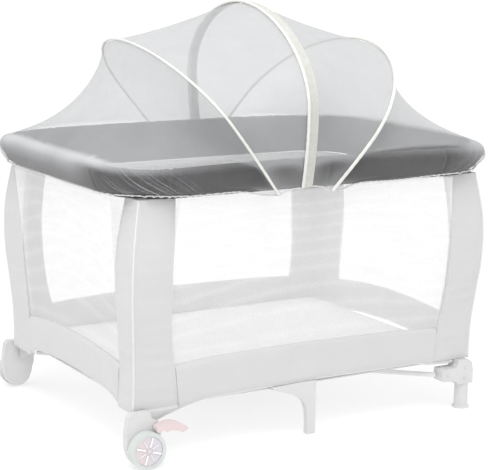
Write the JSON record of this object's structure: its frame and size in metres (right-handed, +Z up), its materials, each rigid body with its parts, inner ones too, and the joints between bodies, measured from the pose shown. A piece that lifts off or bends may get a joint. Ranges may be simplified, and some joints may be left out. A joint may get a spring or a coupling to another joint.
{
  "type": "mosquito net on travel cot",
  "caption": "Sheer pop-up mosquito net on leaning hoops with a zip tape, its gathered hem drawn over the padded rails of a travel cot with wheels and brake pedals.",
  "frame": {"origin": "floor level, under the middle of the bounding box", "axes": "+X along the cot's long side, away from its wheels; +Y from the zip side's near foot to the far side; +Z up"},
  "size_m": [1.093, 0.932, 1.0308],
  "materials": {
    "net_white": "fine sheer polyester netting",
    "hoop_binding": "woven binding sewn round a spring rod",
    "zip_tape": "woven zip tape, closed",
    "rail_grey": "melange fabric over foam padding",
    "cot_fabric_pale": "plain woven cover",
    "mesh_pale": "breathable mesh",
    "mattress_white": "quilted cover over a thin foam pad",
    "plastic_pale": "moulded",
    "tube_pale": "powder coated steel tube",
    "tyre_pale": "hard plastic tread",
    "disc_pink": "glossy wheel cover with wedges",
    "pedal_pink": "glossy moulded lever"
  },
  "bodies": {
    "cot": {"net": "net_white", "hoop_left": "hoop_binding", "hoop_centre": "hoop_binding", "hoop_right": "hoop_binding", "zip_tape": "zip_tape", "rail_near_left": "rail_grey", "rail_near_right": "rail_grey", "rail_left": "rail_grey", "rail_far": "rail_grey", "rail_right": "rail_grey", "rail_corner_near_left": "rail_grey", "rail_corner_far_left": "rail_grey", "rail_corner_far_right": "rail_grey", "rail_corner_near_right": "rail_grey", "post_near_left": "cot_fabric_pale", "post_near_right": "cot_fabric_pale", "post_far_left": "cot_fabric_pale", "post_far_right": "cot_fabric_pale", "band_near": "cot_fabric_pale", "band_far": "cot_fabric_pale", "band_left": "cot_fabric_pale", "band_right": "cot_fabric_pale", "mesh_near": "mesh_pale", "mesh_far": "mesh_pale", "mesh_left": "mesh_pale", "mesh_right": "mesh_pale", "mattress": "mattress_white", "hub": "plastic_pale", "centre_leg_near": "plastic_pale", "centre_leg_far": "plastic_pale", "casting_near_right": "plastic_pale", "casting_far_right": "plastic_pale", "foot_near_right": "plastic_pale", "foot_far_right": "plastic_pale", "wheel_housing_near": "plastic_pale", "wheel_housing_far": "plastic_pale", "base_tube_far_right": "tube_pale", "base_tube_far_left": "tube_pale", "base_tube_near_left": "tube_pale", "base_tube_near_right": "tube_pale"},
    "wheel_near": {"tyre_near": "tyre_pale", "wheel_disc_near": "disc_pink"},
    "wheel_far": {"tyre_far": "tyre_pale", "wheel_disc_far": "disc_pink"},
    "brake_near": {"brake_pedal_near": "pedal_pink"},
    "brake_far": {"brake_pedal_far": "pedal_pink"}
  },
  "joints": [
    {"name": "wheel_near_spin", "type": "hinge", "parent": "cot", "child": "wheel_near", "pos_m": [-0.465, -0.3855, 0.0437], "axis": [0, 1, 0], "continuous": true},
    {"name": "wheel_far_spin", "type": "hinge", "parent": "cot", "child": "wheel_far", "pos_m": [-0.465, 0.3855, 0.0437], "axis": [0, 1, 0], "continuous": true},
    {"name": "brake_near_press", "type": "hinge", "parent": "cot", "child": "brake_near", "pos_m": [-0.436, -0.3855, 0.0917], "axis": [0, 1, 0], "range_deg": [0, 14]},
    {"name": "brake_far_press", "type": "hinge", "parent": "cot", "child": "brake_far", "pos_m": [-0.436, 0.3855, 0.0917], "axis": [0, 1, 0], "range_deg": [0, 14]}
  ]
}
